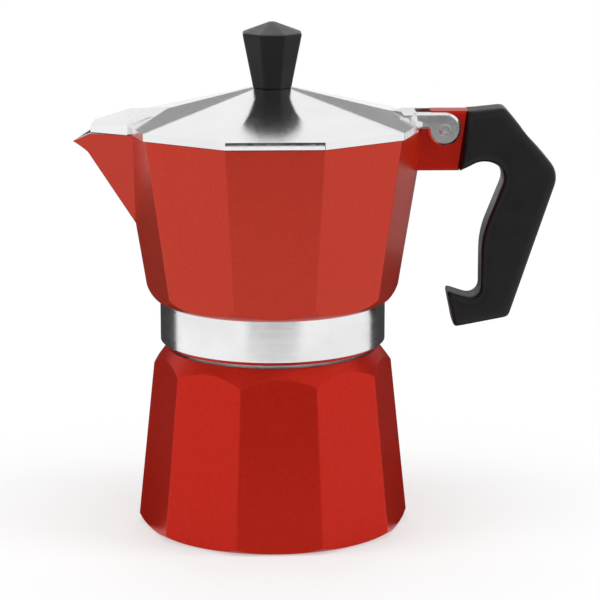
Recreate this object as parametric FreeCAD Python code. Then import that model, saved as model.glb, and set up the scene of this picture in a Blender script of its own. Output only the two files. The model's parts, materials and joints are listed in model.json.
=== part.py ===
"""Three-cup moka pot: boiler, funnel, collector, lid, handle and safety valve.

Millimetres, +Z up. The origin is the centre of the foot, the spout points to -X
and the handle to +X.
"""
import FreeCAD, Part
import math
import os

V = FreeCAD.Vector

# Body facets
sides = 10
half_facet = math.pi / sides
edge_round = 0.8

# Boiler
boiler_spread = 7.7
boiler_taper = 0.106
boiler_twist_deg = 1.76
boiler_wall = 3.4
boiler_floor = 4.5
foot_inset = 4.6
foot_round_height = 6.0
foot_bow = 0.22
shoulder_z = 51.6
shoulder_top_z = 57.4
land_inset = 2.1
neck_length = 9.6
neck_wall = 2.6
boiler_inner_round = 3.0
shoulder_extra_wall = 1.0
hollow_shoulder_drop = 5.0
hollow_neck_drop = 3.0

# Screw thread between boiler and collector
thread_pitch = 3.0
thread_turns = 2.0
neck_core_radius = 31.2
thread_height = 1.4
thread_root_width = 1.5
thread_crest_width = 0.7
thread_clearance = 0.5
thread_bite = 0.3

# Funnel with its filter
sheet = 0.8
funnel_fit = 0.25
funnel_flange_inset = 0.2
funnel_depth = 20.0
funnel_ledge = 1.4
funnel_ledge_lip = 0.6
funnel_cone_height = 5.0
stem_radius = 5.0
stem_wall = 0.7
stem_socket_length = 4.0
stem_fit = 0.03
stem_floor_gap = 4.0
stem_top_drop = 0.5
funnel_hole_radius = 0.65
funnel_hole_rings = 5
funnel_hole_ring_step = 4.4

# Gasket and upper filter plate
gasket_overlap = 0.8
gasket_inner_lap = 1.8
gasket_height = 4.0
gasket_fit = 0.05
gasket_seat_step = 0.3
plate_inset = 3.6
plate_hole_radius = 0.5
plate_hole_rings = 6
plate_hole_ring_step = 3.6

# Collector
collar_wall = 2.4
collar_gap = 1.1
collar_height = 13.9
collar_chamfer = 1.2
collector_overhang = 3.57
collector_taper = 0.1612
collector_height = 54.2
collector_wall = 3.0
collector_floor = 3.2
collector_round_height = 7.0
collector_bow = 0.154
collector_inner_round = 4.0
dish_inset = 1.3
dish_depth = 1.4
column_height = 37.0
column_foot_radius = 9.5
column_top_radius = 6.3
column_cap = 4.0
column_cap_inset = 2.0
column_bore_radius = 6.3
column_bore_top_radius = 3.2
outlet_width = 3.0
outlet_height = 5.0
outlet_drop = 1.0

# Spout
spout_root_drop = 30.0
spout_half_width = 15.0
spout_tip_reach = 14.3
spout_tip_drop = 4.0
spout_point = 0.4
spout_lip_reach = 8.8
spout_lip_drop = 0.9
spout_lip_edge = 0.4
spout_keel_reach = 9.6
spout_keel_drop = 7.2
spout_keel_bow = 0.029
spout_keel_floor = 1.1
spout_root_wall = 2.2
spout_wall = 1.8
spout_wall_slant = 1.8

# Hinge: lug on the collector, ears on the lid
hinge_reach = 5.6
hinge_rise = 0.1
lug_half_thickness = 4.0
lug_drop = 13.3
lug_rise = 5.5
lug_end_top_reach = 7.4
lug_end_bottom_reach = 4.8
lug_start_inset = 4.1
lug_round = 0.7
ear_radius = 5.1
ear_thickness = 2.3
ear_bevel = 0.7
ear_gap = 0.15
pin_radius = 1.35
pin_head_radius = 1.75
pin_head_height = 0.5
pin_fit = 0.05
pin_press = 0.01

# Lid
lid_overhang = 0.75
lid_gap = 0.2
lid_rim_height = 2.2
lid_top_radius = 6.4
lid_slope = 0.243
lid_sheet = 2.0
lid_ridge_round = 14.0
lid_corner_round = 1.0
beak_end_reach = 8.6
beak_end_half_width = 3.6
beak_end_share = 0.7
beak_corner_inset = 3.2
beak_corner_half_width = 15.2
beak_corner_share = 0.4
beak_slope = 0.179
beak_ridge_inset = 16.8
beak_bevel = 0.9
hinge_root_inset = 17.4
hinge_root_step = 2.0
hinge_root_spread = 6.6
hinge_slot_inset = 8.8

# Knob
knob_sides = 8
knob_foot_radius = 6.4
knob_rim_radius = 10.0
knob_apex_radius = 0.9
knob_height = 17.0
knob_cap_height = 3.4
knob_round = 0.5
insert_radius = 3.2
insert_height = 9.0
insert_floor = 1.0
knob_screw_radius = 1.9
knob_screw_length = 10.0
knob_screw_head_radius = 3.4
knob_screw_head_height = 2.2
knob_washer_radius = 4.6
knob_washer_height = 0.8
screw_fit = 0.05
screw_slot_width = 0.9
screw_slot_depth = 1.0

# Handle
handle_thickness = 13.0
handle_round = 2.0
handle_fit = 0.1
handle_top_reach = 18.8
handle_top_rise = 6.7
handle_elbow_reach = 36.2
handle_elbow_drop = 14.0
handle_elbow_round = 4.0
handle_elbow_bow = 0.13
handle_foot_reach = 21.0
handle_foot_drop = 60.0
handle_hook_reach = 3.7
handle_hook_drop = 63.3
handle_tip_reach = 1.2
handle_tip_drop = 51.2
hook_inner_reach = 8.3
hook_inner_drop = 53.6
hook_bow = 0.25
grip_reach = 11.9
grip_bottom_drop = 49.0
grip_top_drop = 38.6
grip_lean_reach = 13.7
grip_lean_drop = 29.2
grip_bow = 0.043
arch_low_reach = 18.4
arch_low_drop = 17.2
arch_bow = 0.223
arch_crown_reach = 15.0
arch_crown_drop = 10.8
arch_crown_bow = 0.11
arch_end_reach = 8.6
arch_end_drop = 11.6
tongue_length = 8.0
tongue_bite = 3.0
tongue_height = 10.0
tongue_half_thickness = 3.2
tongue_fit = 0.1
handle_screw_drop = 3.0
handle_screw_radius = 1.9
handle_screw_length = 12.0
handle_screw_head_radius = 3.4
handle_screw_head_height = 2.4
handle_washer_radius = 3.9
handle_washer_height = 0.7
handle_screw_seat_reach = 20.6
head_clearance = 0.3

# Safety valve on the back facet of the boiler
valve_z = 40.0
valve_seat_depth = 0.9
valve_seat_radius = 7.4
valve_hex_flats = 11.0
valve_hex_height = 4.5
valve_flange_radius = 6.8
valve_flange_height = 1.2
valve_thread_radius = 4.2
valve_thread_length = 7.5
valve_thread_fit = 0.05
valve_washer_radius = 6.6
valve_washer_height = 1.0
valve_bore_radius = 2.7
valve_orifice_radius = 1.3
valve_seat_lip = 1.2
valve_cap_height = 1.2
plunger_disc_radius = 2.4
plunger_disc_height = 1.2
plunger_rod_radius = 0.8
plunger_rod_proud = 3.0
plunger_fit = 0.1
spring_wire_radius = 0.25
spring_turns = 6
hex_sides = 6

# Modelling: how far a cutter runs past a face, least climb of a corner edge, tolerance
past = 1.0
least_climb = 0.2
tiny = 1e-4
quarter_bow = (math.sqrt(2) - 1) / 2

# Places that follow from the sizes above
thread_crest_radius = neck_core_radius + thread_height
collar_bore_radius = thread_crest_radius + thread_clearance
collar_radius = collar_bore_radius + collar_wall
boiler_foot_corner_radius = collar_radius + boiler_spread
foot_radius = boiler_foot_corner_radius - foot_inset
land_radius = collar_radius - land_inset
neck_bore_radius = neck_core_radius - neck_wall
funnel_flange_radius = neck_core_radius - funnel_flange_inset
gasket_radius = neck_core_radius + gasket_overlap
gasket_inner_radius = neck_bore_radius - gasket_inner_lap
plate_radius = gasket_radius - plate_inset
dish_radius = gasket_inner_radius - dish_inset
collector_corner_radius = collar_radius + collector_overhang
neck_top_z = shoulder_top_z + neck_length
collar_bottom_z = shoulder_top_z + collar_gap
collar_top_z = collar_bottom_z + collar_height
flange_top_z = neck_top_z + sheet
seat_z = flange_top_z + gasket_height
floor_z = seat_z + collector_floor
rim_z = collar_top_z + collector_height
lid_z = rim_z + lid_gap


def boiler_corner_radius(z):
    return boiler_foot_corner_radius - boiler_taper * z


def boiler_flat_radius(z):
    return boiler_corner_radius(z) * math.cos(half_facet)


def collector_flat_radius(z):
    corner = collector_corner_radius + collector_taper * (z - collar_top_z)
    return corner * math.cos(half_facet)


rim_corner_radius = collector_corner_radius + collector_taper * collector_height
lid_corner_radius = rim_corner_radius + lid_overhang
lid_rim_z = lid_z + lid_rim_height
lid_top_z = lid_rim_z + lid_slope * (lid_corner_radius - lid_top_radius)
knob_z = lid_top_z
hinge_x = rim_corner_radius + hinge_reach
hinge_z = rim_z + hinge_rise
arm_half_width = lug_half_thickness + ear_gap + ear_thickness
lug_bottom_z = rim_z - lug_drop
lug_top_z = rim_z + lug_rise
lug_end_top_x = hinge_x + lug_end_top_reach
lug_end_bottom_x = hinge_x + lug_end_bottom_reach
tongue_x = (lug_end_top_x + lug_end_bottom_x) / 2
handle_screw_z = rim_z - handle_screw_drop
handle_screw_seat_x = hinge_x + handle_screw_seat_reach
inside_x = -collector_corner_radius / 2
spout_rim_x = -rim_corner_radius + spout_half_width * math.tan(half_facet)
spout_root_z = rim_z - spout_root_drop
spout_root_x = -collector_flat_radius(spout_root_z) / math.cos(half_facet)
spout_tip_x = -rim_corner_radius - spout_tip_reach
spout_tip_z = rim_z - spout_tip_drop
spout_lip_x = -rim_corner_radius - spout_lip_reach
spout_keel_x = -rim_corner_radius - spout_keel_reach
spout_keel_z = rim_z - spout_keel_drop
beak_end_x = -rim_corner_radius - beak_end_reach
beak_corner_x = -rim_corner_radius + beak_corner_inset
beak_ridge_x = -rim_corner_radius + beak_ridge_inset


def turned_point(r, z):
    return V(r, 0, z)


def side_point(x, z):
    return V(x, 0, z)


def arc_middle(start, end, bow):
    """Point on the way along an arc that bows to the right of its chord by this share of it."""
    across = end[0] - start[0]
    up = end[1] - start[1]
    return ((start[0] + end[0]) / 2 + up * bow, (start[1] + end[1]) / 2 - across * bow)


def arc(start, end, bow):
    """Step of an outline: from start, which the step before reached, to end."""
    return (arc_middle(start, end, bow), end)


def outline(point, start, *steps):
    """Closed wire through lines (a, b) and arcs ((a, b) on the way, (a, b) at the end)."""
    edges = []
    here = start
    for step in steps + (start,):
        if isinstance(step[0], tuple):
            through, end = step
            edges.append(Part.Arc(point(*here), point(*through), point(*end)).toShape())
        else:
            end = step
            if end == here:
                continue
            edges.append(Part.LineSegment(point(*here), point(*end)).toShape())
        here = end
    return Part.Wire(edges)


def turned(start, *steps):
    """Solid of revolution about Z."""
    face = Part.Face(outline(turned_point, start, *steps))
    return face.revolve(V(0, 0, 0), V(0, 0, 1), 360)


def slab(half_width, start, *steps):
    """Outline in the XZ plane, given the same thickness both ways along Y."""
    face = Part.Face(outline(side_point, start, *steps))
    face.translate(V(0, -half_width, 0))
    return face.extrude(V(0, 2 * half_width, 0))


def ring(count, radius, z, turn=0.0):
    """Regular polygon as a closed wire, with a corner on +X before it is turned."""
    corners = []
    for k in range(count + 1):
        angle = 2 * math.pi * (k % count) / count + turn
        corners.append(V(radius * math.cos(angle), radius * math.sin(angle), z))
    return Part.makePolygon(corners)


def frustum(count, low, low_z, high, high_z, turn=0.0):
    return Part.makeLoft([ring(count, low, low_z, turn), ring(count, high, high_z, turn)], True, True)


def plan_wire(z, points):
    corners = [V(x, y, z) for x, y in points]
    return Part.makePolygon(corners + corners[:1])


def plan_prism(z, height, points):
    return Part.Face(plan_wire(z, points)).extrude(V(0, 0, height))


def box(x0, x1, y0, y1, z0, z1):
    return Part.makeBox(x1 - x0, y1 - y0, z1 - z0, V(x0, y0, z0))


def rod(radius, start, end):
    return Part.makeCylinder(radius, (end - start).Length, start, end - start)


def steep_edges(shape):
    """Straight edges that climb, as the corners of a faceted body do."""
    found = []
    for edge in shape.Edges:
        ends = edge.Vertexes
        if len(ends) == 2 and abs(ends[0].Z - ends[1].Z) > least_climb * edge.Length:
            found.append(edge)
    return found


def facing_edges(shape, y):
    """Edges that lie in the plane at this Y."""
    found = []
    for edge in shape.Edges:
        reach = edge.BoundBox
        if abs(reach.YMin - y) < tiny and abs(reach.YMax - y) < tiny:
            found.append(edge)
    return found


def thread_ridge(root_radius, crest_radius, z):
    """One helical ridge that bites a little into the wall it grows from."""
    outward = 1 if crest_radius > root_radius else -1
    foot = root_radius - outward * thread_bite
    half_root = thread_root_width / 2
    half_crest = thread_crest_width / 2
    helix = Part.makeHelix(thread_pitch, thread_pitch * thread_turns, root_radius)
    section = outline(turned_point, (foot, -half_root), (root_radius, -half_root),
                      (crest_radius, -half_crest), (crest_radius, half_crest),
                      (root_radius, half_root), (foot, half_root))
    ridge = Part.Wire(helix.Edges).makePipeShell([section], True, True)
    ridge.translate(V(0, 0, z))
    return ridge


def perforated_disc(radius, z, thickness, hole_radius, rings, ring_step):
    """Flat disc with rings of small holes, as close packed as hexagons."""
    wires = [Part.Wire(Part.Circle(V(0, 0, z), V(0, 0, 1), radius).toShape())]
    for k in range(rings + 1):
        count = max(1, hex_sides * k)
        for n in range(count):
            angle = 2 * math.pi * n / count
            centre = V(k * ring_step * math.cos(angle), k * ring_step * math.sin(angle), z)
            wires.append(Part.Wire(Part.Circle(centre, V(0, 0, 1), hole_radius).toShape()))
    face = Part.Face(wires, "Part::FaceMakerBullseye")
    return face.extrude(V(0, 0, thickness))


def screw_slot(centre, axis_x, depth, head_radius):
    """Cutter for a straight driver slot across a screw head that faces along X or Z."""
    half = screw_slot_width / 2
    wide = head_radius + past
    if axis_x:
        return box(centre.x - depth, centre.x + past, centre.y - wide, centre.y + wide,
                   centre.z - half, centre.z + half)
    return box(centre.x - wide, centre.x + wide, centre.y - half, centre.y + half,
               centre.z - past, centre.z + depth)


def biarc(start, start_way, end, end_way):
    """Two arcs that leave start along start_way and reach end along end_way."""
    chord = end - start
    ways = start_way + end_way
    bend = 2 * (1 - start_way.dot(end_way))
    reach = (math.sqrt(chord.dot(ways) ** 2 + bend * chord.dot(chord)) - chord.dot(ways)) / bend
    near = start + start_way * reach
    far = end - end_way * reach
    joint = (near + far) * 0.5
    edges = []
    for first, corner, last in ((start, near, joint), (joint, far, end)):
        middle = (first + last) * 0.5
        half_turn = (corner - first).getAngle(last - first)
        crown = middle + (corner - middle) * (math.tan(half_turn / 2) / math.tan(half_turn))
        edges.append(Part.Arc(first, crown, last).toShape())
    return edges


def coil(mean_radius, wire_radius, length, turns):
    """Spring along +Z from z = 0, one unbroken tube; also its least gap to itself."""
    pitch = length / turns
    rise = pitch / (2 * math.pi)

    def at(angle):
        return V(mean_radius * math.cos(angle), mean_radius * math.sin(angle), rise * angle)

    def way(angle):
        tangent = V(-mean_radius * math.sin(angle), mean_radius * math.cos(angle), rise)
        return tangent.normalize()

    quarter = math.pi / 2
    edges = []
    for k in range(4 * turns):
        first = k * quarter
        last = first + quarter
        edges += biarc(at(first), way(first), at(last), way(last))
    path = Part.Wire(edges)
    section = Part.Wire(Part.Circle(at(0), way(0), wire_radius).toShape())
    step = quarter / 6
    samples = [at(k * step) for k in range(24 * turns)]
    half_turn = 12
    least = min((a - b).Length for i, a in enumerate(samples) for b in samples[i + half_turn:])
    return path.makePipeShell([section], True, False), least - 2 * wire_radius


def make_boiler():
    top_corner = boiler_corner_radius(shoulder_top_z)
    body = frustum(sides, boiler_foot_corner_radius, 0, top_corner, shoulder_top_z)
    body = body.makeFillet(edge_round, steep_edges(body))
    wide = boiler_foot_corner_radius + past
    lathe = turned((0, 0), (foot_radius, 0),
                   arc((foot_radius, 0), (wide, foot_round_height), foot_bow),
                   (wide, shoulder_z),
                   (boiler_corner_radius(shoulder_z), shoulder_z), (land_radius, shoulder_top_z),
                   (0, shoulder_top_z))
    body = body.common(lathe)
    neck = Part.makeCylinder(neck_core_radius, neck_length + past, V(0, 0, shoulder_top_z - past))
    ridge_z = collar_bottom_z + thread_root_width / 2 + thread_bite
    ridge = thread_ridge(neck_core_radius, thread_crest_radius, ridge_z)
    body = body.fuse([neck, ridge])
    low = boiler_flat_radius(boiler_floor) - boiler_wall
    high = boiler_flat_radius(shoulder_z) - boiler_wall - shoulder_extra_wall
    bend = boiler_inner_round
    hollow = turned((0, boiler_floor), (low - bend, boiler_floor),
                    arc((low - bend, boiler_floor), (low, boiler_floor + bend), quarter_bow),
                    (high, shoulder_z - hollow_shoulder_drop),
                    (neck_bore_radius, shoulder_top_z - hollow_neck_drop),
                    (neck_bore_radius, neck_top_z + past), (0, neck_top_z + past))
    body = body.cut(hollow)
    seat_y = boiler_flat_radius(valve_z) - valve_seat_depth
    seat = rod(valve_seat_radius, V(0, seat_y, valve_z), V(0, seat_y + valve_seat_radius, valve_z))
    hole_radius = valve_thread_radius + valve_thread_fit
    hole = rod(hole_radius, V(0, seat_y - 2 * valve_thread_length, valve_z),
               V(0, seat_y + past, valve_z))
    return body.cut([seat, hole]).removeSplitter()


def make_valve():
    """Valve pieces along +Y through the back facet, seated on the spot face."""
    seat_y = boiler_flat_radius(valve_z) - valve_seat_depth
    parts = {}

    def along(start, end, radius):
        return rod(radius, V(0, start, valve_z), V(0, end, valve_z))

    washer = along(seat_y, seat_y + valve_washer_height, valve_washer_radius)
    washer = washer.cut(along(seat_y - past, seat_y + valve_washer_height + past,
                              valve_thread_radius + valve_thread_fit))
    parts["safety_valve_washer"] = washer
    flange_y = seat_y + valve_washer_height
    inner_y = flange_y - valve_thread_length
    outer_y = flange_y + valve_flange_height + valve_hex_height
    hexagon = ring(hex_sides, valve_hex_flats / 2 / math.cos(math.pi / hex_sides), 0)
    hexagon = Part.Face(hexagon).extrude(V(0, 0, valve_hex_height))
    hexagon.rotate(V(0, 0, 0), V(1, 0, 0), -90)
    hexagon.translate(V(0, flange_y + valve_flange_height, valve_z))
    body = along(inner_y, flange_y + past, valve_thread_radius)
    body = body.fuse([along(flange_y, flange_y + valve_flange_height, valve_flange_radius), hexagon])
    lip_y = inner_y + valve_seat_lip
    body = body.cut([along(lip_y, outer_y + past, valve_bore_radius),
                     along(inner_y - past, lip_y + past, valve_orifice_radius)])
    parts["safety_valve_body"] = body.removeSplitter()
    cap_y = outer_y - valve_cap_height
    cap = along(cap_y, outer_y, valve_bore_radius)
    cap = cap.cut(along(cap_y - past, outer_y + past, plunger_rod_radius + plunger_fit))
    parts["safety_valve_retainer"] = cap
    disc_y = lip_y + plunger_disc_height
    plunger = along(lip_y, disc_y, plunger_disc_radius)
    plunger = plunger.fuse(along(lip_y, outer_y + plunger_rod_proud, plunger_rod_radius))
    parts["safety_valve_plunger"] = plunger.removeSplitter()
    space = cap_y - disc_y - 2 * spring_wire_radius
    mean = (plunger_rod_radius + valve_bore_radius) / 2
    spring, gap = coil(mean, spring_wire_radius, space, spring_turns)
    print("valve spring least gap to itself: %.2f mm" % gap)
    spring.rotate(V(0, 0, 0), V(1, 0, 0), -90)
    spring.translate(V(0, disc_y + spring_wire_radius, valve_z))
    parts["safety_valve_spring"] = spring
    return parts


def make_funnel():
    outer = neck_bore_radius - funnel_fit
    inner = outer - sheet
    ledge = inner - funnel_ledge
    ledge_z = flange_top_z - funnel_depth
    cone_z = ledge_z - funnel_cone_height
    socket_inner = stem_radius + stem_fit
    socket_outer = socket_inner + sheet
    socket_z = cone_z - stem_socket_length
    cup = turned((inner, flange_top_z), (funnel_flange_radius, flange_top_z),
                 (funnel_flange_radius, neck_top_z), (outer, neck_top_z),
                 (outer, ledge_z - sheet), (socket_outer, cone_z - sheet),
                 (socket_outer, socket_z), (socket_inner, socket_z),
                 (socket_inner, cone_z), (ledge, ledge_z - funnel_ledge_lip), (ledge, ledge_z),
                 (inner, ledge_z))
    stem_z = boiler_floor + stem_floor_gap
    stem_inner = stem_radius - stem_wall
    stem_top_z = cone_z - stem_top_drop
    stem = turned((stem_inner, stem_z), (stem_radius, stem_z), (stem_radius, stem_top_z),
                  (stem_inner, stem_top_z))
    disc = perforated_disc(inner - stem_fit, ledge_z, sheet, funnel_hole_radius,
                           funnel_hole_rings, funnel_hole_ring_step)
    return {"funnel_cup": cup, "funnel_stem": stem, "funnel_filter": disc}


def make_gasket():
    rebate = plate_radius + gasket_fit
    return turned((gasket_inner_radius, flange_top_z), (gasket_radius, flange_top_z),
                  (gasket_radius, seat_z), (rebate, seat_z), (rebate, seat_z - sheet),
                  (gasket_inner_radius, seat_z - sheet))


def spout_sides(inset):
    """Wedge between the spout's two flat sides, moved in by a wall when inset."""
    root_x = spout_root_x + inset
    tip_x = spout_tip_x - spout_point + inset * spout_wall_slant
    top_z = lid_top_z
    rise = top_z - spout_root_z
    keel_lean = (tip_x - root_x) / (spout_tip_z - spout_root_z)
    top_x = root_x + keel_lean * rise
    rim_keel_x = root_x + keel_lean * spout_root_drop
    flank = (spout_half_width - inset) / (spout_rim_x + inset - rim_keel_x)
    half = flank * (inside_x - top_x)
    root_half = flank * (inside_x - root_x)
    top = plan_wire(top_z, [(top_x, 0), (inside_x, -half), (inside_x, half)])
    low = plan_wire(spout_root_z, [(root_x, 0), (inside_x, -root_half), (inside_x, root_half)])
    return Part.makeLoft([low, top], True, True)


def pin_hole(fit):
    """Cutter for the hinge pin's hole through lug and ears."""
    return rod(pin_radius + fit, V(hinge_x, -2 * arm_half_width, hinge_z),
               V(hinge_x, 2 * arm_half_width, hinge_z))


def make_collector():
    body = frustum(sides, collector_corner_radius, collar_top_z, rim_corner_radius, rim_z)
    body = body.makeFillet(edge_round, steep_edges(body))
    wide = rim_corner_radius + past
    round_z = collar_top_z + collector_round_height
    round_radius = collector_corner_radius + collector_taper * collector_round_height
    lathe = turned((0, collar_top_z), (collar_radius, collar_top_z),
                   arc((collar_radius, collar_top_z), (round_radius, round_z), collector_bow),
                   (wide, rim_z), (0, rim_z))
    body = body.common(lathe)
    collar = turned((0, collar_bottom_z), (collar_radius - collar_chamfer, collar_bottom_z),
                    (collar_radius, collar_bottom_z + collar_chamfer), (collar_radius, collar_top_z),
                    (0, collar_top_z))
    lip_z = rim_z - spout_lip_drop
    tip = (spout_tip_x, spout_tip_z)
    keel = (spout_keel_x, spout_keel_z)
    spout_side = slab(rim_corner_radius, (inside_x, rim_z), (spout_rim_x, rim_z), (spout_lip_x, lip_z),
                      tip, arc(tip, keel, -spout_keel_bow), (spout_root_x, spout_root_z),
                      (inside_x, spout_root_z))
    spout = spout_sides(0).common(spout_side)
    lug_start_x = hinge_x - lug_start_inset
    lug_root_x = collector_corner_radius
    lug = slab(lug_half_thickness, (lug_root_x, lug_bottom_z), (lug_end_bottom_x, lug_bottom_z),
               (lug_end_top_x, lug_top_z), (lug_start_x, lug_top_z), (lug_start_x, rim_z),
               (lug_root_x, rim_z))
    cheeks = facing_edges(lug, -lug_half_thickness) + facing_edges(lug, lug_half_thickness)
    lug = lug.makeFillet(lug_round, cheeks)
    tongue = box(tongue_x - tongue_bite, tongue_x + tongue_length,
                 -tongue_half_thickness, tongue_half_thickness,
                 handle_screw_z - tongue_height / 2, handle_screw_z + tongue_height / 2)
    body = body.fuse([collar, spout, lug, tongue])
    low = collector_flat_radius(floor_z) - collector_wall
    high = collector_flat_radius(rim_z) - collector_wall
    bend = collector_inner_round
    hollow = turned((0, floor_z), (low - bend, floor_z),
                    arc((low - bend, floor_z), (low, floor_z + bend), quarter_bow),
                    (high, rim_z + past), (0, rim_z + past))
    channel_side = slab(rim_corner_radius, (inside_x, lid_top_z), (spout_tip_x, lid_top_z),
                        (spout_tip_x + spout_lip_edge, spout_tip_z + spout_lip_edge),
                        (spout_keel_x + spout_wall, spout_keel_z + spout_keel_floor),
                        (spout_root_x + spout_root_wall, spout_root_z + spout_wall),
                        (inside_x, spout_root_z + spout_wall))
    channel = spout_sides(spout_wall).common(channel_side)
    body = body.cut([hollow, channel])
    column_top_z = floor_z + column_height
    bore_top = column_top_z - column_cap
    column = turned((0, floor_z - past), (column_foot_radius, floor_z - past),
                    (column_foot_radius, floor_z), (column_top_radius, bore_top),
                    (column_top_radius - column_cap_inset, column_top_z), (0, column_top_z))
    body = body.fuse(column)
    step_z = flange_top_z + gasket_seat_step
    seat_radius = gasket_radius + gasket_fit
    under = turned((0, collar_bottom_z - past), (collar_bore_radius, collar_bottom_z - past),
                   (collar_bore_radius, step_z), (seat_radius, step_z),
                   (seat_radius, seat_z), (dish_radius, seat_z),
                   (column_bore_radius, seat_z + dish_depth), (column_bore_top_radius, bore_top),
                   (0, bore_top))
    outlet_z = bore_top - outlet_height
    outlet = box(-outlet_width / 2, outlet_width / 2, -column_foot_radius, column_foot_radius,
                 outlet_z, bore_top - outlet_drop)
    screw_hole = rod(handle_screw_radius + pin_press, V(tongue_x - past, 0, handle_screw_z),
                     V(tongue_x + tongue_length + past, 0, handle_screw_z))
    body = body.cut([under, outlet, pin_hole(pin_press), screw_hole])
    ridge_z = collar_bottom_z + thread_root_width / 2 + thread_bite
    crest_radius = neck_core_radius + thread_clearance
    ridge = thread_ridge(collar_bore_radius, crest_radius, ridge_z + thread_pitch / 2)
    return body.fuse(ridge).removeSplitter()


def pyramid(low_z, top_z):
    """Lid pyramid through the rim corners at lid_rim_z, cut off level at the knob."""
    low_radius = lid_corner_radius + (lid_rim_z - low_z) / lid_slope
    top_radius = lid_corner_radius + (lid_rim_z - top_z) / lid_slope
    return frustum(sides, low_radius, low_z, top_radius, top_z)


def kite(inset):
    """Plan of the beak's cover, from its blunt end to the point on the lid's ridge."""
    corner = beak_corner_half_width - inset
    end = beak_end_half_width - inset * beak_end_share
    end_x = beak_end_x + inset
    corner_x = beak_corner_x + inset * beak_corner_share
    return [(end_x, -end), (corner_x, -corner), (beak_ridge_x - inset, 0), (corner_x, corner), (end_x, end)]


def beak_roof_z(x):
    ridge_z = lid_rim_z + lid_slope * (lid_corner_radius + beak_ridge_x)
    return ridge_z + beak_slope * (x - beak_ridge_x)


def beak_block(inset, drop, low):
    """Beak between its sloping underside and its roof, which slopes to the spout."""
    x0 = beak_end_x - past
    x1 = beak_ridge_x
    lip_slope = spout_lip_drop / (spout_rim_x - spout_lip_x)
    low_end = low - lip_slope * (spout_rim_x - x0)
    side = slab(rim_corner_radius, (x1, low), (spout_rim_x, low), (x0, low_end),
                (x0, beak_roof_z(x0) - drop), (x1, beak_roof_z(x1) - drop))
    plan = plan_prism(lug_bottom_z, 2 * lug_drop, kite(inset))
    return plan.common(side)


def make_lid():
    roof = pyramid(lid_z - past, lid_top_z)
    roof = roof.makeFillet(lid_ridge_round, steep_edges(roof))
    edge = frustum(sides, lid_corner_radius, lid_z, lid_corner_radius, lid_top_z + past)
    edge = edge.makeFillet(lid_corner_round, steep_edges(edge))
    shell = roof.common(edge)
    beak = beak_block(0, 0, lid_z)
    roof_edges = []
    for e in beak.Edges:
        if all(abs(p.Z - beak_roof_z(p.X)) < tiny for p in e.Vertexes):
            roof_edges.append(e)
    beak = beak.makeChamfer(beak_bevel, roof_edges)
    arm_top = hinge_z + ear_radius
    spread = arm_half_width + hinge_root_spread
    slot_x = hinge_x - hinge_slot_inset
    root_x = hinge_x - hinge_root_inset
    top = plan_wire(arm_top, [(root_x, 0), (slot_x, -arm_half_width), (slot_x, arm_half_width)])
    low = plan_wire(lid_z, [(root_x - hinge_root_step, 0), (slot_x, -spread), (slot_x, spread)])
    root = Part.makeLoft([low, top], True, True)
    arm_x = root_x + 2 * hinge_root_step
    ear_bottom = (hinge_x, hinge_z - ear_radius)
    ear_inside = (hinge_x - ear_radius, hinge_z)
    arms = slab(arm_half_width, (arm_x, arm_top), (hinge_x, arm_top),
                ((hinge_x + ear_radius, hinge_z), ear_bottom),
                arc(ear_bottom, ear_inside, -quarter_bow),
                (hinge_x - ear_radius, lid_z), (arm_x, lid_z))
    cheeks = facing_edges(arms, -arm_half_width) + facing_edges(arms, arm_half_width)
    arms = arms.makeChamfer(ear_bevel, cheeks)
    shell = shell.fuse([beak, root, arms])
    inner_flat = lid_corner_radius - lid_sheet / math.cos(half_facet)
    under = pyramid(lid_z - past, lid_top_z)
    under.translate(V(0, 0, -lid_sheet))
    below_z = lid_z - past - lid_sheet
    bore = frustum(sides, inner_flat, below_z, inner_flat, lid_top_z)
    hollow = under.common(bore)
    keep_arms = box(root_x + hinge_root_step, hinge_x, -arm_half_width, arm_half_width,
                    below_z, arm_top + past)
    hollow = hollow.cut(keep_arms)
    beak_hollow = beak_block(lid_sheet, lid_sheet, lid_z - 2 * lid_sheet)
    slot_half = lug_half_thickness + ear_gap
    slot = box(slot_x, hinge_x + 2 * ear_radius, -slot_half, slot_half,
               hinge_z - 2 * ear_radius, arm_top + past)
    screw_hole = rod(knob_screw_radius + screw_fit, V(0, 0, lid_z), V(0, 0, lid_top_z + past))
    return shell.cut([hollow, beak_hollow, slot, pin_hole(pin_fit), screw_hole]).removeSplitter()


def make_pin():
    half = arm_half_width + ear_gap
    pin = rod(pin_radius, V(hinge_x, -half, hinge_z), V(hinge_x, half, hinge_z))
    heads = []
    for side in (-1, 1):
        inner_y = side * half
        outer_y = inner_y + side * pin_head_height
        head = rod(pin_head_radius, V(hinge_x, inner_y, hinge_z), V(hinge_x, outer_y, hinge_z))
        heads.append(head.makeChamfer(pin_head_height / 2, facing_edges(head, outer_y)))
    return pin.fuse(heads).removeSplitter()


def make_knob():
    turn = math.pi / knob_sides
    brim_z = knob_z + knob_height
    stem = frustum(knob_sides, knob_foot_radius, knob_z, knob_rim_radius, brim_z, turn)
    cap = frustum(knob_sides, knob_rim_radius, brim_z, knob_apex_radius, brim_z + knob_cap_height, turn)
    knob = stem.fuse(cap).removeSplitter()
    knob = knob.makeFillet(knob_round, knob.Edges)
    insert = Part.makeCylinder(insert_radius, insert_height, V(0, 0, knob_z))
    knob = knob.cut(insert)
    bore = Part.makeCylinder(knob_screw_radius + screw_fit, insert_height - insert_floor, V(0, 0, knob_z))
    return {"knob": knob, "knob_insert": insert.cut(bore)}


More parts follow.
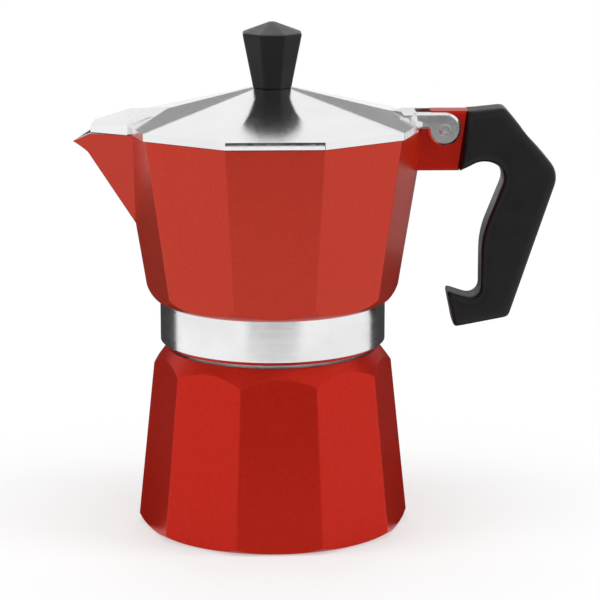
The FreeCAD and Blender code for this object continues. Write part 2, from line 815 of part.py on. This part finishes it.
def make_knob_screw():
    seat_z_lid = lid_top_z - lid_sheet
    washer_z = seat_z_lid - knob_washer_height
    head_z = washer_z - knob_screw_head_height
    axis_bottom = V(0, 0, washer_z - past)
    washer = rod(knob_washer_radius, V(0, 0, washer_z), V(0, 0, seat_z_lid))
    washer = washer.cut(rod(knob_screw_radius + screw_fit, axis_bottom, V(0, 0, lid_top_z)))
    head = rod(knob_screw_head_radius, V(0, 0, head_z), V(0, 0, washer_z))
    low_rim = [e for e in head.Edges if e.BoundBox.ZMax < head_z + tiny]
    head = head.makeFillet(knob_screw_head_height / 2, low_rim)
    shank = rod(knob_screw_radius, axis_bottom, V(0, 0, axis_bottom.z + knob_screw_length))
    slot = screw_slot(V(0, 0, head_z), False, screw_slot_depth, knob_screw_head_radius)
    screw = head.fuse(shank).cut(slot).removeSplitter()
    return {"knob_washer": washer, "knob_screw": screw}


def handle_point(reach, rise):
    """Place in the side view, from the hinge pin's X and the collector's rim."""
    return (hinge_x + reach, rim_z + rise)


def make_handle():
    half = handle_thickness / 2
    top = handle_point(handle_top_reach, handle_top_rise)
    elbow = handle_point(handle_elbow_reach, -handle_elbow_drop)
    foot = handle_point(handle_foot_reach, -handle_foot_drop)
    hook = handle_point(handle_hook_reach, -handle_hook_drop)
    tip = handle_point(handle_tip_reach, -handle_tip_drop)
    hook_inner = handle_point(hook_inner_reach, -hook_inner_drop)
    grip_bottom = handle_point(grip_reach, -grip_bottom_drop)
    grip_top = handle_point(grip_reach, -grip_top_drop)
    grip_lean = handle_point(grip_lean_reach, -grip_lean_drop)
    arch_low = handle_point(arch_low_reach, -arch_low_drop)
    arch_crown = handle_point(arch_crown_reach, -arch_crown_drop)
    arch_end = handle_point(arch_end_reach, -arch_end_drop)
    to_top = V(top[0] - elbow[0], 0, top[1] - elbow[1]).normalize() * handle_elbow_round
    to_foot = V(foot[0] - elbow[0], 0, foot[1] - elbow[1]).normalize() * handle_elbow_round
    before = (elbow[0] + to_top.x, elbow[1] + to_top.z)
    after = (elbow[0] + to_foot.x, elbow[1] + to_foot.z)
    blank = slab(half, (lug_end_top_x + handle_fit, lug_top_z), top,
                 before, arc(before, after, -handle_elbow_bow), foot, hook, tip,
                 hook_inner, arc(hook_inner, grip_bottom, hook_bow),
                 grip_top, arc(grip_top, grip_lean, -grip_bow),
                 arch_low, arc(arch_low, arch_crown, arch_bow),
                 arc(arch_crown, arch_end, arch_crown_bow),
                 (lug_end_bottom_x + handle_fit, lug_bottom_z))
    body = blank.makeFillet(handle_round, facing_edges(blank, -half) + facing_edges(blank, half))
    socket_half = tongue_half_thickness + tongue_fit
    socket_rise = tongue_height / 2 + tongue_fit
    socket = box(tongue_x - 2 * tongue_bite, tongue_x + tongue_length + tongue_fit,
                 -socket_half, socket_half, handle_screw_z - socket_rise, handle_screw_z + socket_rise)
    shaft = rod(handle_screw_radius + screw_fit, V(tongue_x, 0, handle_screw_z),
                V(handle_screw_seat_x + past, 0, handle_screw_z))
    well = rod(handle_washer_radius + head_clearance, V(handle_screw_seat_x, 0, handle_screw_z),
               V(elbow[0] + past, 0, handle_screw_z))
    return body.cut([socket, shaft, well]).removeSplitter()


def make_handle_screw():
    def along(radius, start, end):
        return rod(radius, V(start, 0, handle_screw_z), V(end, 0, handle_screw_z))

    seat = handle_screw_seat_x
    head_x = seat + handle_washer_height
    washer = along(handle_washer_radius, seat, head_x)
    washer = washer.cut(along(handle_screw_radius + screw_fit, seat - past, head_x + past))
    end_x = head_x + handle_screw_head_height
    head = along(handle_screw_head_radius, head_x, end_x)
    rim = [e for e in head.Edges if e.BoundBox.XMin > end_x - tiny]
    head = head.makeFillet(handle_screw_head_height / 2, rim)
    shank = along(handle_screw_radius, head_x + handle_screw_head_height / 2, head_x - handle_screw_length)
    slot = screw_slot(V(end_x, 0, handle_screw_z), True, screw_slot_depth, handle_screw_head_radius)
    return {"handle_washer": washer, "handle_screw": head.fuse(shank).cut(slot).removeSplitter()}


lower = {"boiler": make_boiler()}
lower.update(make_valve())
for shape in lower.values():
    shape.rotate(V(0, 0, 0), V(0, 0, 1), boiler_twist_deg)

pieces = dict(lower)
pieces.update(make_funnel())
pieces["gasket"] = make_gasket()
pieces["filter_plate"] = perforated_disc(plate_radius, seat_z - sheet, sheet, plate_hole_radius,
                                         plate_hole_rings, plate_hole_ring_step)
pieces["collector"] = make_collector()
pieces["lid"] = make_lid()
pieces["hinge_pin"] = make_pin()
pieces.update(make_knob())
pieces.update(make_knob_screw())
pieces["handle"] = make_handle()
pieces.update(make_handle_screw())

os.makedirs("parts", exist_ok=True)
for name, shape in pieces.items():
    size = shape.BoundBox
    print("%-22s solids %d valid %s volume %.1f  x %.1f..%.1f  y %.1f..%.1f  z %.1f..%.1f" % (
        name, len(shape.Solids), shape.isValid(), shape.Volume,
        size.XMin, size.XMax, size.YMin, size.YMax, size.ZMin, size.ZMax))
    shape.exportStep("parts/%s.step" % name)
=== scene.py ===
import json
import math
from collections import namedtuple

import bpy
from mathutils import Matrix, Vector


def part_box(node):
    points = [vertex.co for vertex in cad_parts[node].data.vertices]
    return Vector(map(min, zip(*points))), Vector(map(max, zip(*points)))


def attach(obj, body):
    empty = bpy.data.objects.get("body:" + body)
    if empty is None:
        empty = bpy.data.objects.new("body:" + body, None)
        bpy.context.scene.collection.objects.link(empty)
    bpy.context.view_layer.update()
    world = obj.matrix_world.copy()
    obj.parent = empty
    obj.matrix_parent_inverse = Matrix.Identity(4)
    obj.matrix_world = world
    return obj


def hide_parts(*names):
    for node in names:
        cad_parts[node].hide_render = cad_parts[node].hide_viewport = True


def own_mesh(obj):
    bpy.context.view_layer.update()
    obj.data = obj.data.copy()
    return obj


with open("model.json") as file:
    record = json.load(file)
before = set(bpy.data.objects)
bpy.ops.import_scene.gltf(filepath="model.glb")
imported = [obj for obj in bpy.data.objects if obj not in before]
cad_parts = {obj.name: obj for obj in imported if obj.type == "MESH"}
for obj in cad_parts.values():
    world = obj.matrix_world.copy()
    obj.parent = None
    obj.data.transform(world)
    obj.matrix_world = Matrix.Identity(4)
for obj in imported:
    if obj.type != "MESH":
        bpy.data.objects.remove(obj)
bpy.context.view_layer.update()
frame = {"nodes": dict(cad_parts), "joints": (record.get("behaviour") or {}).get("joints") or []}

nodes = frame["nodes"]
scene = bpy.context.scene

# Places read from the solids, in metres
boiler_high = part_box("boiler")[1]
collector_low, collector_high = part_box("collector")
pin_low, pin_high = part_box("hinge_pin")
knob_low, knob_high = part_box("knob")
valve_low, valve_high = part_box("safety_valve_washer")
neck_height = 0.0096
collar_height = 0.0139
lug_rise = 0.0055
lug_drop = 0.0133
lug_reach = 0.0074
shoulder_top = boiler_high[2] - neck_height
collar_top = collector_low[2] + collar_height
rim_top = collector_high[2] - lug_rise
lug_bottom = rim_top - lug_drop
lug_end = (pin_low[0] + pin_high[0]) / 2 + lug_reach
valve_middle = (Vector(valve_low) + Vector(valve_high)) / 2
hair = 0.00006

# Sizes that part painted faces from bare ones, in metres
sides = 10
facet_cos = math.cos(math.pi / sides)
boiler_foot_corner = 0.0432
boiler_taper = -0.106
collector_foot_corner = 0.03907
collector_taper = 0.1612
casting_wall = 0.0026
boiler_floor = 0.004
neck_bore = 0.0286
valve_seat_radius = 0.0076
spout_start = -0.036
rim_end = 0.045
lug_start = 0.0475
lug_root = 0.03
lug_half = 0.0045
lid_flange = 0.004
front_rim_half = 0.02
cap_height = 0.006

# Parts of a unit normal that tell how a face lies
flat = 0.98
sideways = 0.99
overhang = -0.9
trough_slope = 0.3
cap_slope = 0.4
inward = -1e-7

# Materials
Grain = namedtuple("Grain", "scale detail rough stretch", defaults=(3.0, 0.5, None))
Rings = namedtuple("Rings", "scale distort upright")
ring_detail = 2.0
edge_samples = 6
mix_start = 0.3
mix_end = 0.7


class Shader:
    """One material with a Principled shader and short calls for its detail."""

    def __init__(self, name):
        self.mat = bpy.data.materials.new(name)
        self.mat.use_nodes = True
        self.tree = self.mat.node_tree
        self.bsdf = self.tree.nodes["Principled BSDF"]
        self.coords = self.tree.nodes.new("ShaderNodeTexCoord").outputs["Object"]
        self.normal = None

    def link(self, out, into):
        self.tree.links.new(out, into)

    def noise(self, grain):
        node = self.tree.nodes.new("ShaderNodeTexNoise")
        node.inputs["Scale"].default_value = grain.scale
        node.inputs["Detail"].default_value = grain.detail
        node.inputs["Roughness"].default_value = grain.rough
        vector = self.coords
        if grain.stretch:
            mapping = self.tree.nodes.new("ShaderNodeMapping")
            mapping.inputs["Scale"].default_value = grain.stretch
            self.link(vector, mapping.inputs["Vector"])
            vector = mapping.outputs["Vector"]
        self.link(vector, node.inputs["Vector"])
        return node.outputs["Fac"]

    def rings(self, rings):
        node = self.tree.nodes.new("ShaderNodeTexWave")
        if rings.upright:
            node.wave_type = "BANDS"
            node.bands_direction = "Z"
        else:
            node.wave_type = "RINGS"
            node.rings_direction = "Z"
        node.inputs["Scale"].default_value = rings.scale
        node.inputs["Distortion"].default_value = rings.distort
        node.inputs["Detail"].default_value = ring_detail
        self.link(self.coords, node.inputs["Vector"])
        return node.outputs["Fac"]

    def colour(self, fac, dark, light):
        node = self.tree.nodes.new("ShaderNodeValToRGB")
        first, last = node.color_ramp.elements
        first.position = mix_start
        first.color = (*dark, 1)
        last.position = mix_end
        last.color = (*light, 1)
        self.link(fac, node.inputs["Fac"])
        self.link(node.outputs["Color"], self.bsdf.inputs["Base Color"])

    def roughness(self, fac, low, high):
        node = self.tree.nodes.new("ShaderNodeMapRange")
        node.inputs["From Min"].default_value = mix_start
        node.inputs["From Max"].default_value = mix_end
        node.inputs["To Min"].default_value = low
        node.inputs["To Max"].default_value = high
        self.link(fac, node.inputs["Value"])
        self.link(node.outputs["Result"], self.bsdf.inputs["Roughness"])

    def use_normal(self, out):
        self.normal = out
        self.link(out, self.bsdf.inputs["Normal"])

    def soft_edges(self, radius):
        node = self.tree.nodes.new("ShaderNodeBevel")
        node.samples = edge_samples
        node.inputs["Radius"].default_value = radius
        self.use_normal(node.outputs["Normal"])

    def relief(self, fac, strength, depth):
        node = self.tree.nodes.new("ShaderNodeBump")
        node.inputs["Strength"].default_value = strength
        node.inputs["Distance"].default_value = depth
        self.link(fac, node.inputs["Height"])
        if self.normal is not None:
            self.link(self.normal, node.inputs["Normal"])
        self.use_normal(node.outputs["Normal"])


def finish(name, sockets, tint, dark, light, gloss, smooth, coarse,
           skin=None, strength=0.0, depth=0.0, edge=None):
    """Colour from dark to light by tint, roughness from smooth to coarse by gloss, and relief by skin."""
    shader = Shader(name)
    for socket, value in sockets.items():
        shader.bsdf.inputs[socket].default_value = value
    shader.colour(shader.noise(tint), dark, light)
    shader.roughness(shader.noise(gloss), smooth, coarse)
    if edge:
        shader.soft_edges(edge)
    if skin:
        height = shader.rings(skin) if isinstance(skin, Rings) else shader.noise(skin)
        shader.relief(height, strength, depth)
    return shader.mat


metal = {"Metallic": 1.0}
plain = {"Metallic": 0.0}


def red_paint(name, specular, coat, dark, light):
    return finish(
        name,
        {"Metallic": 0.55, "IOR": 1.5, "Specular IOR Level": specular,
         "Coat Weight": coat, "Coat Roughness": 0.1},
        tint=Grain(900, 4.0, 0.6), dark=dark, light=light,
        gloss=Grain(420, 4.0, 0.6), smooth=0.30, coarse=0.36,
        skin=Grain(1500, 3.0, 0.6), strength=0.20, depth=0.0002, edge=0.0006)


def black_plastic(name, specular):
    return finish(
        name, {"Metallic": 0.0, "IOR": 1.5, "Specular IOR Level": specular},
        tint=Grain(120, 4.0, 0.6), dark=(0.0035, 0.0035, 0.004), light=(0.007, 0.007, 0.0075),
        gloss=Grain(160), smooth=0.32, coarse=0.43,
        skin=Grain(2600, 3.0, 0.6), strength=0.18, depth=0.00012)


# Two copies of one red enamel: the collector's has more green, a stronger specular and coat, a lighter and
# glossier copy that paints the paler sheen of the upper body; the boiler's is the darker copy
boiler_paint = red_paint(
    "red_enamel", specular=0.26, coat=0.02, dark=(0.455, 0.010, 0.0020), light=(0.505, 0.014, 0.0034))
collector_paint_lit = red_paint(
    "red_enamel_upper", specular=0.55, coat=0.06, dark=(0.455, 0.020, 0.0035), light=(0.505, 0.025, 0.0055))
machined_band = finish(
    "machined_band", metal,
    tint=Grain(60), dark=(0.78, 0.78, 0.79), light=(0.90, 0.90, 0.90),
    gloss=Grain(400, 2.0, 0.5, (0.05, 0.05, 8)), smooth=0.14, coarse=0.24,
    skin=Rings(900, 0.6, upright=True), strength=0.06, depth=0.00004)
cast_inside = finish(
    "cast_inside", metal,
    tint=Grain(80, 4.0, 0.6), dark=(0.50, 0.50, 0.51), light=(0.66, 0.66, 0.66),
    gloss=Grain(150), smooth=0.34, coarse=0.50,
    skin=Grain(1100, 4.0, 0.7), strength=0.25, depth=0.0003)
mirror_rim = finish(
    "mirror_rim", metal,
    tint=Grain(60), dark=(0.84, 0.84, 0.85), light=(0.90, 0.90, 0.90),
    gloss=Grain(500), smooth=0.012, coarse=0.03)
# Glossier copy of the black plastic for the knob's cap: a painted highlight
cap_painted_highlight = black_plastic("cap_painted_highlight", specular=0.85)
by_slot = {
    "polished_aluminium": finish(
        "polished_lid", metal,
        tint=Grain(30), dark=(0.80, 0.80, 0.81), light=(0.90, 0.90, 0.90),
        gloss=Grain(1800, 4.0, 0.7), smooth=0.05, coarse=0.24,
        skin=Grain(2200, 4.0, 0.7), strength=0.16, depth=0.00008),
    "sheet_aluminium": finish(
        "spun_sheet", metal,
        tint=Grain(90), dark=(0.58, 0.58, 0.59), light=(0.74, 0.74, 0.74),
        gloss=Grain(300), smooth=0.26, coarse=0.38,
        skin=Rings(420, 0.4, upright=False), strength=0.10, depth=0.0001),
    "black_plastic": black_plastic("black_moulding", specular=0.25),
    "brass": finish(
        "turned_brass", metal,
        tint=Grain(240, 4.0, 0.6), dark=(0.56, 0.36, 0.11), light=(0.74, 0.52, 0.20),
        gloss=Grain(500), smooth=0.22, coarse=0.36,
        skin=Grain(1800), strength=0.12, depth=0.0001),
    "steel": finish(
        "plated_steel", metal,
        tint=Grain(260), dark=(0.48, 0.48, 0.49), light=(0.64, 0.64, 0.65),
        gloss=Grain(600), smooth=0.20, coarse=0.32,
        skin=Grain(2000), strength=0.10, depth=0.00008),
    "rubber": finish(
        "seal_rubber", plain,
        tint=Grain(150, 4.0, 0.6), dark=(0.62, 0.60, 0.55), light=(0.74, 0.72, 0.67),
        gloss=Grain(300), smooth=0.50, coarse=0.66,
        skin=Grain(1600, 4.0, 0.6), strength=0.2, depth=0.0002),
}


# Finishes of the solids; the last is the boiler's darker red, put on the collector's lug as painted shade
painted, machined, bare, lug_painted_shade = range(4)


def dress(node, *mats):
    mesh = nodes[node].data
    mesh.materials.clear()
    for mat in mats:
        mesh.materials.append(mat)
    return mesh


def flat_radius(foot_corner, taper, rise):
    """Distance from the axis to the middle of an outer facet."""
    return (foot_corner + taper * rise) * facet_cos


def boiler_finish(centre, normal):
    reach = math.hypot(centre.x, centre.y)
    from_valve = math.hypot(centre.x - valve_middle.x, centre.z - valve_middle.z)
    if centre.y > 0 and from_valve < valve_seat_radius:
        return machined
    if centre.z > shoulder_top + hair:
        return machined if normal.z > overhang and reach > neck_bore + hair else bare
    inner = flat_radius(boiler_foot_corner, boiler_taper, centre.z) - casting_wall
    if reach < inner and centre.z > boiler_floor:
        return bare
    if normal.z < -flat and centre.z < hair:
        return machined
    return painted


def collector_finish(centre, normal):
    if centre.z < collar_top + hair:
        return machined
    inner = flat_radius(collector_foot_corner, collector_taper, centre.z - collar_top) - casting_wall
    if math.hypot(centre.x, centre.y) < inner:
        return bare
    if centre.x < spout_start and (centre.y * normal.y < inward or normal.z > trough_slope):
        return bare
    if normal.z > flat and centre.z > rim_top - hair and centre.x < rim_end:
        return machined
    # The lug's sides and end get the boiler's darker red as painted shade
    lug_side = abs(normal.y) > sideways and centre.x > lug_root
    if abs(centre.y) < lug_half and (centre.x > lug_start or lug_side):
        return lug_painted_shade
    return painted


def lid_finish(centre, normal):
    """1 on the upright front of the rim."""
    low = centre.z < rim_top + lid_flange
    return int(normal.y < -flat and low and abs(centre.x) < front_rim_half)


def knob_finish(centre, normal):
    """1 on the cap, which gets the glossier black as a painted highlight."""
    return int(normal.z > cap_slope and centre.z > knob_high[2] - cap_height)


def split_finish(mesh, choose):
    for face in mesh.polygons:
        face.material_index = choose(face.center, face.normal)


split_finish(dress("boiler", boiler_paint, machined_band, cast_inside), boiler_finish)
# The collector's fourth material is the boiler's darker red, painted shade on the lug
split_finish(dress("collector", collector_paint_lit, machined_band, cast_inside, boiler_paint), collector_finish)
split_finish(dress("lid", by_slot["polished_aluminium"], mirror_rim), lid_finish)
finish_of = {
    "sheet_aluminium": ["funnel_cup", "funnel_stem", "funnel_filter", "filter_plate"],
    "black_plastic": ["knob", "handle"],
    "brass": ["safety_valve_body", "safety_valve_plunger", "safety_valve_retainer", "knob_insert"],
    "steel": ["safety_valve_spring", "hinge_pin", "handle_screw", "handle_washer",
              "knob_screw", "knob_washer"],
    "rubber": ["gasket", "safety_valve_washer"],
}
for slot_name, names in finish_of.items():
    for node in names:
        dress(node, by_slot[slot_name])


def shade_smooth(mesh):
    mesh.polygons.foreach_set("use_smooth", [True] * len(mesh.polygons))


# Valve spring as a coil
def valve_spring():
    joint = next(j for j in frame["joints"] if j["name"] == "valve_lift")
    axis = Vector(joint["axis"]).normalized()
    low, high = (Vector(corner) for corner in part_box("safety_valve_spring"))
    wire = 0.00025
    turns = 6
    steps = 24
    around = 10
    stations = turns * steps
    outer = (high.z - low.z) / 2
    mean = outer - wire
    length = (high.y - low.y - 2 * outer * abs(axis.x)) / axis.y
    rise = length - 2 * wire
    start = (low + high) / 2 - axis * (rise / 2)
    side = Vector((axis.y, -axis.x, 0))
    up = Vector((0, 0, 1))
    points = []
    faces = []
    for k in range(stations + 1):
        angle = 2 * math.pi * k / steps
        out = side * math.cos(angle) - up * math.sin(angle)
        spot = start + axis * (rise * k / stations) + out * mean
        for n in range(around):
            lean = 2 * math.pi * n / around
            points.append(spot + (out * math.cos(lean) + axis * math.sin(lean)) * wire)
    for k in range(stations):
        for n in range(around):
            a = k * around + n
            b = k * around + (n + 1) % around
            faces.append((a, a + around, b + around, b))
    last = stations * around
    faces.append(tuple(range(around)))
    faces.append(tuple(last + n for n in reversed(range(around))))
    mesh = bpy.data.meshes.new("valve_coil")
    mesh.from_pydata(points, [], faces)
    shade_smooth(mesh)
    mesh.materials.append(by_slot["steel"])
    coil = bpy.data.objects.new("valve_coil", mesh)
    scene.collection.objects.link(coil)
    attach(coil, "boiler")
    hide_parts("safety_valve_spring")
    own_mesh(coil)


valve_spring()

# Moulded handle and knob with softly rounded corners
smooth_factor = 0.5
handle_voxel = 0.0005
handle_passes = 34
handle_edge_gap = 0.0006
handle_edge_width = 0.003
handle_edge_drop = 0.004
knob_voxel = 0.00035
knob_passes = 6
knob_edge_gap = 0.001
knob_edge_width = 0.002


def settle(piece):
    """Turns the piece's modifiers into its mesh."""
    bpy.context.view_layer.update()
    graph = bpy.context.evaluated_depsgraph_get()
    mesh = bpy.data.meshes.new_from_object(piece.evaluated_get(graph))
    piece.modifiers.clear()
    piece.data = mesh


def softened(node, name, body, voxel, passes, share):
    piece = bpy.data.objects.new(name, nodes[node].data.copy())
    scene.collection.objects.link(piece)
    even = piece.modifiers.new("even", "REMESH")
    even.mode = "VOXEL"
    even.voxel_size = voxel
    settle(piece)
    group = piece.vertex_groups.new(name="soft")
    for vertex in piece.data.vertices:
        group.add((vertex.index,), share(vertex.co), "REPLACE")
    soft = piece.modifiers.new("soft", "SMOOTH")
    soft.factor = smooth_factor
    soft.iterations = passes
    soft.vertex_group = group.name
    settle(piece)
    mesh = piece.data
    shade_smooth(mesh)
    mesh.materials.clear()
    mesh.materials.append(by_slot["black_plastic"])
    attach(piece, body)
    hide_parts(node)
    return mesh


def rising_share(distance, width):
    return min(1.0, max(0.0, distance / width))


def handle_share(point):
    """The end that is pressed on the lug keeps its sharp edge."""
    if point.z < lug_bottom - handle_edge_drop:
        return 1.0
    return rising_share(point.x - lug_end - handle_edge_gap, handle_edge_width)


def knob_share(point):
    """The foot on the lid keeps its sharp edge."""
    return rising_share(point.z - knob_low[2] - knob_edge_gap, knob_edge_width)


softened("handle", "handle_moulding", "collector", handle_voxel, handle_passes, handle_share)
knob_mesh = softened("knob", "knob_moulding", "lid", knob_voxel, knob_passes, knob_share)
knob_mesh.materials.append(cap_painted_highlight)
split_finish(knob_mesh, knob_finish)

# Stage: floor, glowing grey cards that only reflections see and that paint dark and grey reflections on the
# pot, lamps and world
white = (1, 1, 1, 1)
floor_tone = 0.9
floor_half = 6.0
shadow_reach = 0.03
shadow_end = 0.16
shadow_glow = 0.45


def backdrop_ray(tree):
    """1 for camera, glossy and transmission rays."""
    path = tree.nodes.new("ShaderNodeLightPath")
    total = path.outputs["Is Camera Ray"]
    for kind in ("Is Glossy Ray", "Is Transmission Ray"):
        top = tree.nodes.new("ShaderNodeMath")
        top.operation = "MAXIMUM"
        tree.links.new(total, top.inputs[0])
        tree.links.new(path.outputs[kind], top.inputs[1])
        total = top.outputs[0]
    return total


def floor_material():
    """Lit floor near the pot, with its shadow, that turns into plain white further out."""
    mat = bpy.data.materials.new("pale_floor")
    mat.use_nodes = True
    tree = mat.node_tree
    tree.nodes.clear()
    out = tree.nodes.new("ShaderNodeOutputMaterial")
    lit = tree.nodes.new("ShaderNodeBsdfDiffuse")
    lit.inputs["Color"].default_value = (floor_tone, floor_tone, floor_tone, 1)
    glow = tree.nodes.new("ShaderNodeEmission")
    glow.inputs["Strength"].default_value = 1.0
    blend = tree.nodes.new("ShaderNodeMixShader")
    coords = tree.nodes.new("ShaderNodeTexCoord")
    far = tree.nodes.new("ShaderNodeVectorMath")
    far.operation = "LENGTH"
    tree.links.new(coords.outputs["Object"], far.inputs[0])
    fade = tree.nodes.new("ShaderNodeMapRange")
    fade.interpolation_type = "SMOOTHSTEP"
    fade.inputs["From Min"].default_value = shadow_reach
    fade.inputs["From Max"].default_value = shadow_end
    fade.inputs["To Min"].default_value = shadow_glow
    fade.inputs["To Max"].default_value = 1.0
    tree.links.new(far.outputs["Value"], fade.inputs["Value"])
    share = tree.nodes.new("ShaderNodeMath")
    share.operation = "MULTIPLY"
    tree.links.new(backdrop_ray(tree), share.inputs[0])
    tree.links.new(fade.outputs["Result"], share.inputs[1])
    tree.links.new(share.outputs[0], blend.inputs["Fac"])
    tree.links.new(lit.outputs[0], blend.inputs[1])
    tree.links.new(glow.outputs[0], blend.inputs[2])
    tree.links.new(blend.outputs[0], out.inputs["Surface"])
    return mat


def quad(name, corners, mat):
    mesh = bpy.data.meshes.new(name)
    mesh.from_pydata(corners, [], [(0, 1, 2, 3)])
    mesh.materials.append(mat)
    obj = bpy.data.objects.new(name, mesh)
    scene.collection.objects.link(obj)
    return obj


def reflection_glow_material(grey):
    mat = bpy.data.materials.new("card")
    mat.use_nodes = True
    tree = mat.node_tree
    tree.nodes.clear()
    out = tree.nodes.new("ShaderNodeOutputMaterial")
    glow = tree.nodes.new("ShaderNodeEmission")
    glow.inputs["Color"].default_value = (grey, grey, grey, 1)
    tree.links.new(glow.outputs[0], out.inputs["Surface"])
    return mat


def reflected_quad(name, corners, grey):
    """Glowing grey quad that only reflections see; it paints a reflection and casts no diffuse light or
    shadow.
    """
    obj = quad(name, corners, reflection_glow_material(grey))
    obj.visible_camera = False
    obj.visible_diffuse = False
    obj.visible_shadow = False
    obj.visible_transmission = False


def card(name, centre, width, low, high, grey):
    """Upright card that faces the pot and paints a reflection on it."""
    away = Vector((*centre, 0)).normalized()
    along = Vector((-away.y, away.x, 0)) * (width / 2)
    foot = Vector((*centre, low))
    head = Vector((*centre, high))
    reflected_quad(name, [foot - along, foot + along, head + along, head - along], grey)


quad("floor", [(-floor_half, -floor_half, 0), (floor_half, -floor_half, 0),
               (floor_half, floor_half, 0), (-floor_half, floor_half, 0)], floor_material())
# Painted reflections: dark and grey cards placed so the boiler, the shoulder, the hinge ear and the lid
# reflect them
card("card_front", centre=(0.0, -0.36), width=0.34, low=0.0, high=0.052, grey=0.01)
card("card_rim", centre=(0.0, -0.36), width=0.12, low=0.0780, high=0.10, grey=0.06)
card("card_ear_high", centre=(0.095, -0.36), width=0.09, low=0.073, high=0.13, grey=0.06)
card("card_high_front", centre=(-0.12, -0.45), width=0.50, low=0.42, high=0.92, grey=0.40)
card("card_high_left", centre=(-0.50, -0.04), width=0.60, low=0.34, high=0.80, grey=0.36)
card("card_ear_low", centre=(0.09, -0.36), width=0.06, low=0.058, high=0.073, grey=0.33)
card("card_left", centre=(-0.077, 0.092), width=0.165, low=0.0, high=0.088, grey=0.05)
card("card_right", centre=(0.077, 0.092), width=0.165, low=0.0, high=0.060, grey=0.05)
card("card_right_high", centre=(0.077, 0.092), width=0.18, low=0.060, high=0.095, grey=0.28)
card("card_lid_left", centre=(-0.085, 0.30), width=0.13, low=0.188, high=0.26, grey=0.3)
card("card_lid_right", centre=(0.085, 0.30), width=0.13, low=0.188, high=0.26, grey=0.3)
# Glowing grey wedges overhead that only reflections see: painted reflections that give the lid's facets
# different tones
ceiling_height = 1.0
ceiling_reach = 0.62
ceiling_greys = (0.95, 0.62, 0.80, 0.55, 0.72)
wedge_turn = 2 * math.pi / len(ceiling_greys)
for k, grey in enumerate(ceiling_greys):
    rays = [wedge_turn * (k + part) - math.pi / 2 for part in (0.0, 0.5, 1.0)]
    wedge = [(0, 0, ceiling_height)]
    wedge += [(ceiling_reach * math.cos(a), ceiling_reach * math.sin(a), ceiling_height) for a in rays]
    reflected_quad("card_ceiling_%d" % k, wedge, grey)
# Dark quads on the floor that only reflections see: painted dark reflections in the boiler's lowest facets
floor_card = [(-0.03, 0.035), (-0.0418, -0.014), (-0.14, 0.03), (-0.05, 0.15)]
floor_card_grey = 0.02
for name, way in (("card_floor_left", 1), ("card_floor_right", -1)):
    reflected_quad(name, [(way * x, y, hair) for x, y in floor_card], floor_card_grey)

pot_middle = Vector((0.0, 0.0, 0.08))


def lamp(name, place, width, height, power):
    """Soft lamp that looks at the pot and that reflections don't see."""
    data = bpy.data.lights.new(name, "AREA")
    data.shape = "RECTANGLE"
    data.size = width
    data.size_y = height
    data.energy = power
    obj = bpy.data.objects.new(name, data)
    obj.location = place
    obj.rotation_euler = (pot_middle - Vector(place)).to_track_quat("-Z", "Y").to_euler()
    obj.visible_glossy = False
    scene.collection.objects.link(obj)


lamp("softbox_left", place=(-1.05, -0.28, 0.45), width=0.7, height=0.9, power=8.8)
lamp("softbox_right", place=(1.08, -0.28, 0.45), width=0.6, height=0.9, power=9.6)
lamp("softbox_top", place=(0.0, -0.15, 1.3), width=0.9, height=0.9, power=4.0)
lamp("softbox_rear", place=(0.0, 0.78, 1.2), width=0.7, height=0.5, power=4.0)

ambient_level = 0.32


def background(tree, strength):
    node = tree.nodes.new("ShaderNodeBackground")
    node.inputs["Color"].default_value = white
    node.inputs["Strength"].default_value = strength
    return node.outputs[0]


world = bpy.data.worlds.new("studio")
scene.world = world
world.use_nodes = True
world_tree = world.node_tree
world_tree.nodes.clear()
world_blend = world_tree.nodes.new("ShaderNodeMixShader")
world_out = world_tree.nodes.new("ShaderNodeOutputWorld")
world_tree.links.new(backdrop_ray(world_tree), world_blend.inputs["Fac"])
world_tree.links.new(background(world_tree, ambient_level), world_blend.inputs[1])
world_tree.links.new(background(world_tree, 1.0), world_blend.inputs[2])
world_tree.links.new(world_blend.outputs[0], world_out.inputs["Surface"])

# Camera at the photograph's place
camera_place = Vector((-0.014374, -0.780831, 0.245127))
camera_aim = Vector((0.008656, -0.000255, 0.07143))
lens_mm = 151.6
sensor_mm = 36.0
nearest = 0.01
lens = bpy.data.cameras.new("camera")
lens.sensor_width = sensor_mm
lens.lens = lens_mm
lens.clip_start = nearest
camera = bpy.data.objects.new("camera", lens)
camera.location = camera_place
camera.rotation_euler = (camera_aim - camera_place).to_track_quat("-Z", "Y").to_euler()
scene.collection.objects.link(camera)
scene.camera = camera
scene.view_settings.view_transform = "Standard"
